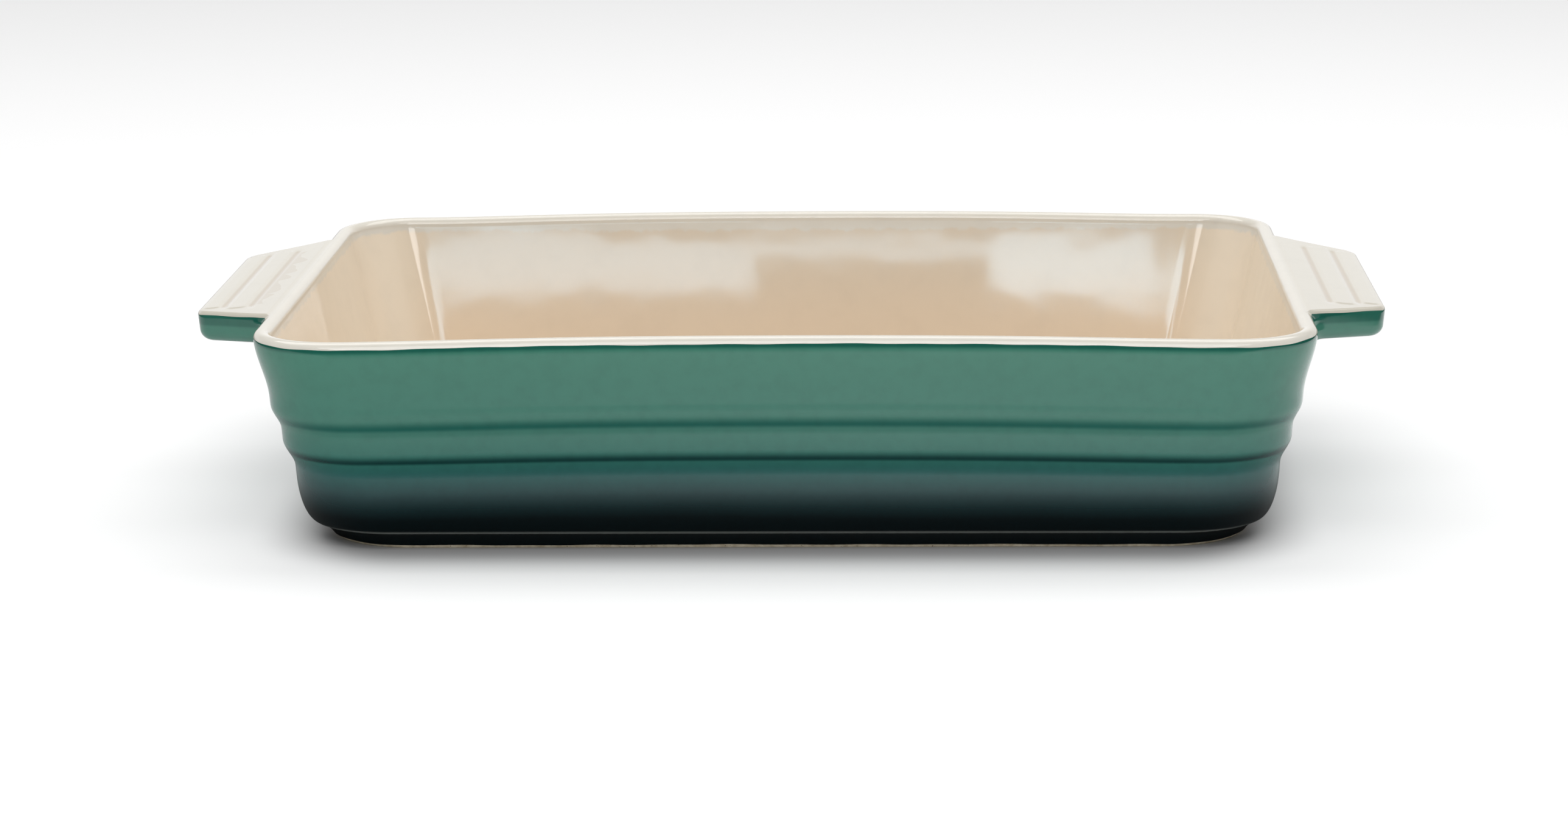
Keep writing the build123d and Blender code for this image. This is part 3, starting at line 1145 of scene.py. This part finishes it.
    def edge_line(self, x: Array, y: Array) -> Array:
        """Height of the line between the two glazes, in the tab's frame, along the border."""
        wave = ripple(y / (2 * self.span), waves=(3, 8, 17), shifts=(0.2, 0.6, 0.9))
        beside = FORM.lip_base + FORM.line_rise
        along = self.top_level - self.colour_drop - self.droop * x / self.reach
        climb = ease((self.root_width / 2 + self.line_climb - np.abs(y)) / self.line_climb)
        z = blend(beside, along, climb) + self.line_wobble * wave
        return self.local(np.stack([x + FORM.rim_half_length, y, z], -1))[..., 2]

    def edge_section(self, length: Array) -> tuple[Array, Array]:
        """Reach and height of the edge's section, by the length up from the top round's foot.

        Below nought the section runs straight down, and then turns under by the bottom round.
        Above nought it turns in by the top round. Reach is nought on the straight part.
        """
        top = np.clip(length / self.top_round, 0, pi / 2)
        straight = self.thickness - self.top_round - self.bottom_round
        low = np.clip((-length - straight) / self.bottom_round, 0, pi / 2)
        reach = self.top_round * (np.cos(top) - 1) + self.bottom_round * (np.cos(low) - 1)
        height = (-self.top_round + np.clip(length, -straight, 0)
                  + self.top_round * np.sin(top) - self.bottom_round * np.sin(low))
        return reach, height

    def line_length(self, line: Array) -> Array:
        """The section's length at the height of the line between the glazes."""
        up = line + self.top_round
        return np.where(up > 0, self.top_round * np.arcsin(np.clip(up / self.top_round, 0, 1)), up)

    def edge_rows(self, end: float, count: int) -> tuple[Array, Array, Array]:
        """Rows of first places round the edge, from the line between the glazes.

        Args:
            end: the section's length at the last row.
            count: how many rows there are.

        Returns:
            Their x, y and z in the tab's frame.
        """
        x, y, angle = self.border()
        start = self.line_length(self.edge_line(x, y))
        reach, height = self.edge_section(blend(start, end, np.linspace(0, 1, count)[:, None]))
        return x + reach * np.cos(angle), y + reach * np.sin(angle), height

    def top_grid(self) -> Array:
        """First places for the top coat: up the edge, round it, and in over the lip."""
        edge = self.edge_rows(self.top_round * pi / 2, self.round_rows)
        share = np.linspace(0, 1, self.top_rows + 1)[1:, None]
        inner_x = blend(edge[0][-1], self.lip_reach, share)
        inner_y = edge[1][-1] + 0 * share
        rows = [edge, (inner_x, inner_y, self.relief(inner_x, inner_y))]
        return self.world(*(np.concatenate(part) for part in zip(*rows)))

    def under_grid(self) -> Array:
        """First places for the under coat: down the edge, in below, and down the wall."""
        foot = self.top_round + self.bottom_round * (1 - pi / 2) - self.thickness
        edge = self.edge_rows(foot, self.side_rows)
        last_x, last_y = edge[0][-1], edge[1][-1]
        share = np.linspace(0, 1, self.under_rows + 1)[1:, None]
        inner_x = blend(last_x, np.minimum(last_x, 0.0), share)
        below = np.linspace(0, 1, self.wall_rows + 1)[1:, None]
        rows = [edge, (inner_x, last_y + 0 * share, 0 * inner_x - self.thickness),
                (inner_x[-1] - self.wall_lean * below, last_y + 0 * below,
                 0 * last_y - self.thickness - self.wall_reach * below)]
        return self.world(*(np.concatenate(part) for part in zip(*rows)))

    def coat(self, top: bool) -> tuple[Array, Array]:
        """One coat's closed surface.

        Args:
            top: whether it is the cream coat on top, and else the green one round the edge.

        Returns:
            Its points and its quads.
        """
        start = self.top_grid() if top else self.under_grid()
        points, normals = self.settle(start.reshape(-1, 3))
        faces = quads_of(start)
        points, faces = shell_of(points, faces if top else faces[:, ::-1], normals, FORM.glaze)
        if self.side is Side.LEFT:
            points, faces = points * np.array([-1.0, 1.0, 1.0]), faces[:, ::-1]
        return points, faces

    def tab_shade_share(self, points: Array) -> Array:
        """Where painted shade darkens the green: 1 on the upper part of the tab's edge, else 0."""
        own = self.own(points)
        high = ease((own[..., 2] + self.tab_shade_height) / self.tab_shade_edge + 0.5)
        return high * ease(own[..., 0] / self.tab_shade_start - 1)

    def sunk_share(self, points: Array) -> Array:
        """How deep each point lies in a valley or off a pad, from 0 on a pad to 1."""
        own = self.own(points)
        height = self.relief(own[..., 0], own[..., 1])
        share = (self.pad_rise - height) / (self.pad_rise + self.valley_depth)
        plain = self.pad_rise / (self.pad_rise + self.valley_depth)
        half = self.span * self.pad_zone_share
        top_face = (own[..., 2] > -self.top_round / 2) & (np.abs(own[..., 1]) < half)
        return np.where(top_face, np.clip(share, 0, 1), plain)


@dataclass(frozen=True)
class Studio:
    """The camera, the pale floor and the soft lights."""

    frame_px: tuple[int, int] = (2576, 1345)
    focal_px: float = 7007.5
    sensor: float = 36.0
    distance: float = 1.4224
    elevation: float = radians(11.912)
    heading: float = radians(2.207)
    roll: float = radians(-0.624)
    target: tuple[float, float, float] = (-3.652 * MM, 0.0, 22.957 * MM)
    foot_half: tuple[float, float] = (0.118, 0.082)
    # A painted contact shadow and glow on the floor for the camera, and painted shade near the
    # foot and on the left in its reflection.
    shadow_span: tuple[float, float] = (0.022, 0.054)
    shadow_share: float = 0.45
    painted_glow_share: float = 0.42
    mirror_span: tuple[float, float] = (0.027, 0.087)
    mirror_share: float = 0.08
    sheet_front: tuple[float, float] = (-0.275, -0.235)
    sheet_middle: float = -0.016
    sheet_half: tuple[float, float] = (0.412, 0.430)
    dim_side: tuple[float, float] = (-0.20, 0.06)
    dim_share: float = 0.64
    lamp_aim: tuple[float, float, float] = (0.0, 0.0, 0.04)
    daylight_place: float = -1.40
    daylight_colour: Colour = (0.56, 0.82, 1.0)
    world_glow: float = 0.36
    floor_dark: Colour = (0.02, 0.02, 0.02)
    floor_pale: Colour = (0.97, 0.97, 0.97)
    screen_foot: float = -0.2
    screen_fade: Colour = (0.33, 0.33, 0.33)

    def camera(self) -> None:
        """Set the camera at the photograph's angle."""
        data = bpy.data.cameras.new("camera")
        data.sensor_width = self.sensor
        data.lens = self.focal_px / self.frame_px[0] * self.sensor
        data.clip_start, data.clip_end = 0.01, 50.0
        back = Vector((sin(self.heading) * cos(self.elevation),
                       -cos(self.heading) * cos(self.elevation), sin(self.elevation)))
        right = (-back).cross(Vector((0, 0, 1))).normalized()
        up = right.cross(-back)
        level = Matrix((right, up, back)).transposed()
        turned = level @ Matrix.Rotation(self.roll, 3, "Z")
        camera = linked("camera", data)
        camera.matrix_world = Matrix.Translation(
            Vector(self.target) + back * self.distance) @ turned.to_4x4()
        bpy.context.scene.camera = camera

    @staticmethod
    def panel(name: str, material: str,
              corners: list[tuple[float, float, float]]) -> tuple[bpy.types.Object, NodeBook]:
        """One flat four-sided face, with a new material on it.

        Args:
            name: the panel's name.
            material: its material's name.
            corners: its corners, anticlockwise as seen from its front.

        Returns:
            The panel, and the book for its material's tree.
        """
        data = bpy.data.meshes.new(name)
        data.from_pydata(corners, [], [(0, 1, 2, 3)])
        made, book = new_material(material)
        data.materials.append(made)
        return linked(name, data), book

    def floor(self) -> None:
        """A pale floor, white to the camera, and dark past the sheet to reflections.

        The camera sees a painted contact shadow close to the foot, and elsewhere part of it glows,
        which lightens its shadows. Mirror rays see a sheet in front of the dish, with painted
        shade close to the foot and on its left side.
        """
        size = 8.0
        floor, book = self.panel("floor", "pale_floor", [
            (-size, -size, 0), (size, -size, 0), (size, size, 0), (-size, size, 0)])
        _, x, y, _ = book.place()
        camera_ray = book.node("ShaderNodeLightPath", output="Is Camera Ray")
        mirror_ray = book.node("ShaderNodeLightPath", output="Is Glossy Ray")
        beside, before = ((place.through("ABSOLUTE") - half).highest(0.0)
                          for place, half in zip((x, y), self.foot_half))
        away = (beside * beside + before * before).through("SQRT")
        across = (x - self.sheet_middle).through("ABSOLUTE")
        sheet = y.eased(*self.sheet_front) * (1 - across.eased(*self.sheet_half))
        # Painted shade in the floor's reflection: dim near the foot and on the left.
        clear = away.eased(*self.mirror_span) * (1 - self.mirror_share) + self.mirror_share
        bright = x.eased(*self.dim_side) * (1 - self.dim_share) + self.dim_share
        # A painted contact shadow near the foot, for the camera.
        close = away.eased(*self.shadow_span)
        seen = close * (1 - self.shadow_share) + self.shadow_share
        lit = 1 - camera_ray * (1 - seen) - mirror_ray * (1 - sheet * clear * bright)
        colour = book.mix(lit, self.floor_dark, self.floor_pale)
        lit_floor = book.node("ShaderNodeBsdfDiffuse", inputs={"Color": colour})
        white = book.node("ShaderNodeEmission", inputs={"Color": (*WHITE, 1.0), "Strength": 1.0})
        # The glow lightens the floor's shadows away from the foot.
        shader = book.node("ShaderNodeMixShader", inputs={
            0: camera_ray * close * self.painted_glow_share, 1: lit_floor, 2: white})
        book.node("ShaderNodeOutputMaterial", inputs={"Surface": shader})

    def softbox(self, name: str, centre: tuple[float, float, float],
                size: tuple[float, float], watts: float, colour: Colour = WHITE) -> None:
        """A rectangular area light that faces the dish's middle.

        Args:
            name: the light's name.
            centre: where its middle stands, in metres.
            size: its width and height, in metres.
            watts: its power.
            colour: its linear colour.
        """
        data = bpy.data.lights.new(name, "AREA")
        data.shape = "RECTANGLE"
        data.size, data.size_y = size
        data.energy = watts
        data.color = colour
        lamp = linked(name, data)
        aim = Vector(self.lamp_aim) - Vector(centre)
        lamp.matrix_world = (Matrix.Translation(Vector(centre))
                             @ aim.to_track_quat("-Z", "Y").to_matrix().to_4x4())

    def screen(self, name: str, place: float, top: float, half: float, glow: float,
               fade_from: float) -> None:
        """An upright screen across the room, facing the dish.

        Args:
            name: the screen's name.
            place: how far behind the dish it stands, below nought in front of it.
            top: its height.
            half: half its width.
            glow: how bright it is, where 1 is white.
            fade_from: the height from which it fades to a third up to its top.
        """
        corners = [(-half, place, self.screen_foot), (half, place, self.screen_foot),
                   (half, place, top), (-half, place, top)]
        screen, book = self.panel(name, name, corners if place > 0 else corners[::-1])
        _, _, _, z = book.place()
        colour = book.mix(z.eased(fade_from, top), WHITE, self.screen_fade)
        shader = book.node("ShaderNodeEmission", inputs={"Color": colour, "Strength": glow})
        book.node("ShaderNodeOutputMaterial", inputs={"Surface": shader})

    def daylight(self) -> None:
        """Small bluish boxes side by side, which the inside of the back wall mirrors.

        Each one is given by its left and right, its bottom and top, and its watts per square
        metre. The middle one reaches down less far than its neighbours.
        """
        boxes = {"left_daylight": (-0.335, -0.090, 0.486, 0.533, 19.0),
                 "middle_daylight": (-0.090, 0.093, 0.517, 0.533, 19.0),
                 "right_daylight": (0.093, 0.215, 0.482, 0.533, 26.0)}
        for name, (left, right, low, high, glow) in boxes.items():
            width, height = right - left, high - low
            centre = ((left + right) / 2, self.daylight_place, (low + high) / 2)
            self.softbox(name, centre, (width, height), glow * width * height,
                         self.daylight_colour)

    def lights(self) -> None:
        """A broad overhead box, two over the camera, daylight boxes and a pale world."""
        self.softbox("overhead_softbox", (0.0, 0.50, 1.40), size=(2.4, 0.9), watts=19.0)
        self.softbox("key_softbox", (0.0, -1.15, 1.25), size=(1.4, 0.5), watts=7.5)
        self.softbox("front_softbox", (-0.035, -1.36, 0.80), size=(0.70, 0.36), watts=4.6)
        self.daylight()
        world = bpy.data.worlds.new("pale_world")
        world.use_nodes = True
        bpy.context.scene.world = world
        book = NodeBook(world.node_tree)
        camera_ray = book.node("ShaderNodeLightPath", output="Is Camera Ray")
        strength = camera_ray * (1 - self.world_glow) + self.world_glow
        background = book.node("ShaderNodeBackground", inputs={
            "Color": (*WHITE, 1.0), "Strength": strength})
        book.node("ShaderNodeOutputWorld", inputs={"Surface": background})

    def build(self) -> None:
        """Set up the whole studio."""
        self.camera()
        self.floor()
        self.screen("pale_backdrop", place=2.6, top=1.7, half=4.0, glow=1.0, fade_from=0.70)
        self.screen("dark_screen", place=-1.7, top=1.3, half=2.0, glow=0.03, fade_from=1.2)
        self.lights()
        bpy.context.scene.view_settings.view_transform = "Standard"


def dress(piece: bpy.types.Object, material: bpy.types.Material,
          nodes: tuple[str, ...]) -> None:
    """Give a piece its finish, and let it ride and stand for its nodes.

    Args:
        piece: the piece.
        material: its finish.
        nodes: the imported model's nodes that the piece replaces.
    """
    piece.data.materials.clear()
    piece.data.materials.append(material)
    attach(piece, "root")
    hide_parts(*nodes)
    LOG.info("%s: %d faces", piece.name, len(piece.data.polygons))


def main() -> None:
    """Build every piece in order."""
    logging.basicConfig(level=logging.INFO, format="%(message)s")
    cream, green, clay = (finish_kind().material()
                          for finish_kind in (CreamGlaze, GreenGlaze, BareClay))
    body = Body()
    dress(body.exterior_coat(), green, ("exterior_glaze",))
    dress(body.interior_coat(), cream, ("interior_glaze",))
    dress(body.underside_coat(), green, ("underside_glaze",))
    dress(body.foot(), clay, ("foot_ring",))
    for side in Side:
        handle = Handle(side)
        word = side.name.lower()
        coats = (("top", "depth", handle.sunk_share, cream, "cream_glaze"),
                 ("under", "tab_shade", handle.tab_shade_share, green, "green_glaze"))
        for part, value, share, material, slot in coats:
            points, faces = handle.coat(part == "top")
            piece = new_piece(f"{word}_handle_{part}_coat", points, faces)
            keep(piece.data, value, share(points))
            dress(piece, material, (f"{word}_handle_{part}_glaze",))
    for name in ("stoneware_basin", "left_handle", "right_handle"):
        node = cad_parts[name]
        node.data.materials.clear()
        node.data.materials.append(clay)
    Studio().build()


if __name__ == "__main__":
    main()
